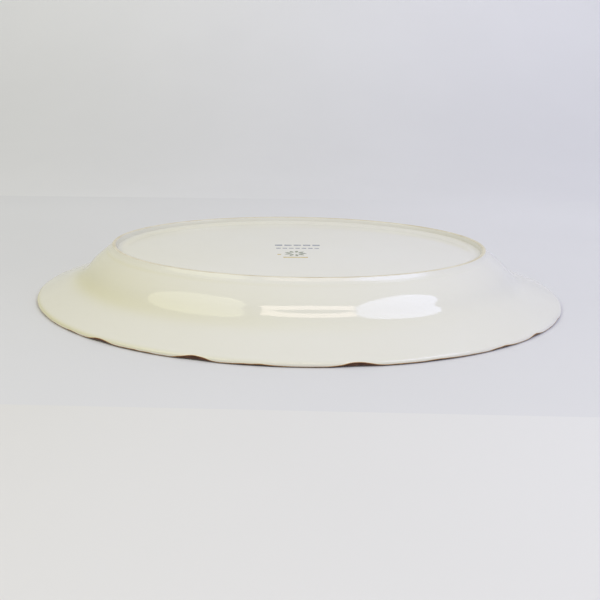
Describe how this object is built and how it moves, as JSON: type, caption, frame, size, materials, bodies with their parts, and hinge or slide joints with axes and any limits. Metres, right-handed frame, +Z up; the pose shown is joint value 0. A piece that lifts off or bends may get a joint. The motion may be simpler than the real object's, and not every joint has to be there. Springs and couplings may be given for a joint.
{
  "type": "oval serving platter",
  "caption": "Shallow oval porcelain serving dish with a sloping scalloped flange, painted lip, recessed base and foot ring.",
  "frame": {"origin": "middle of the footprint, on the table that the foot ring stands on", "axes": "+X along the length, +Y across the width, +Z up out of the open dish; the platter stands the way it is used"},
  "size_m": [0.3558, 0.2752, 0.0339],
  "materials": {
    "biscuit": "fired clay body, covered by the glaze",
    "bare_foot": "bare rubbed clay with a tan line of table dirt",
    "glaze_upper": "clear glossy glaze over cream-white porcelain",
    "glaze_lower": "clear glossy glaze over cream-white porcelain, yellower where it pools",
    "brown_enamel": "fired brown enamel, worn thin in places",
    "print_blue": "printed mark under the glaze",
    "print_green": "printed mark under the glaze",
    "print_ochre": "printed mark under the glaze"
  },
  "bodies": {
    "root": {"clay_body": "biscuit", "foot_ring": "bare_foot", "upper_glaze": "glaze_upper", "lower_glaze": "glaze_lower", "enamel_line": "brown_enamel", "stamp_rules": "print_blue", "stamp_leaves": "print_green", "stamp_band": "print_ochre"}
  },
  "joints": []
}
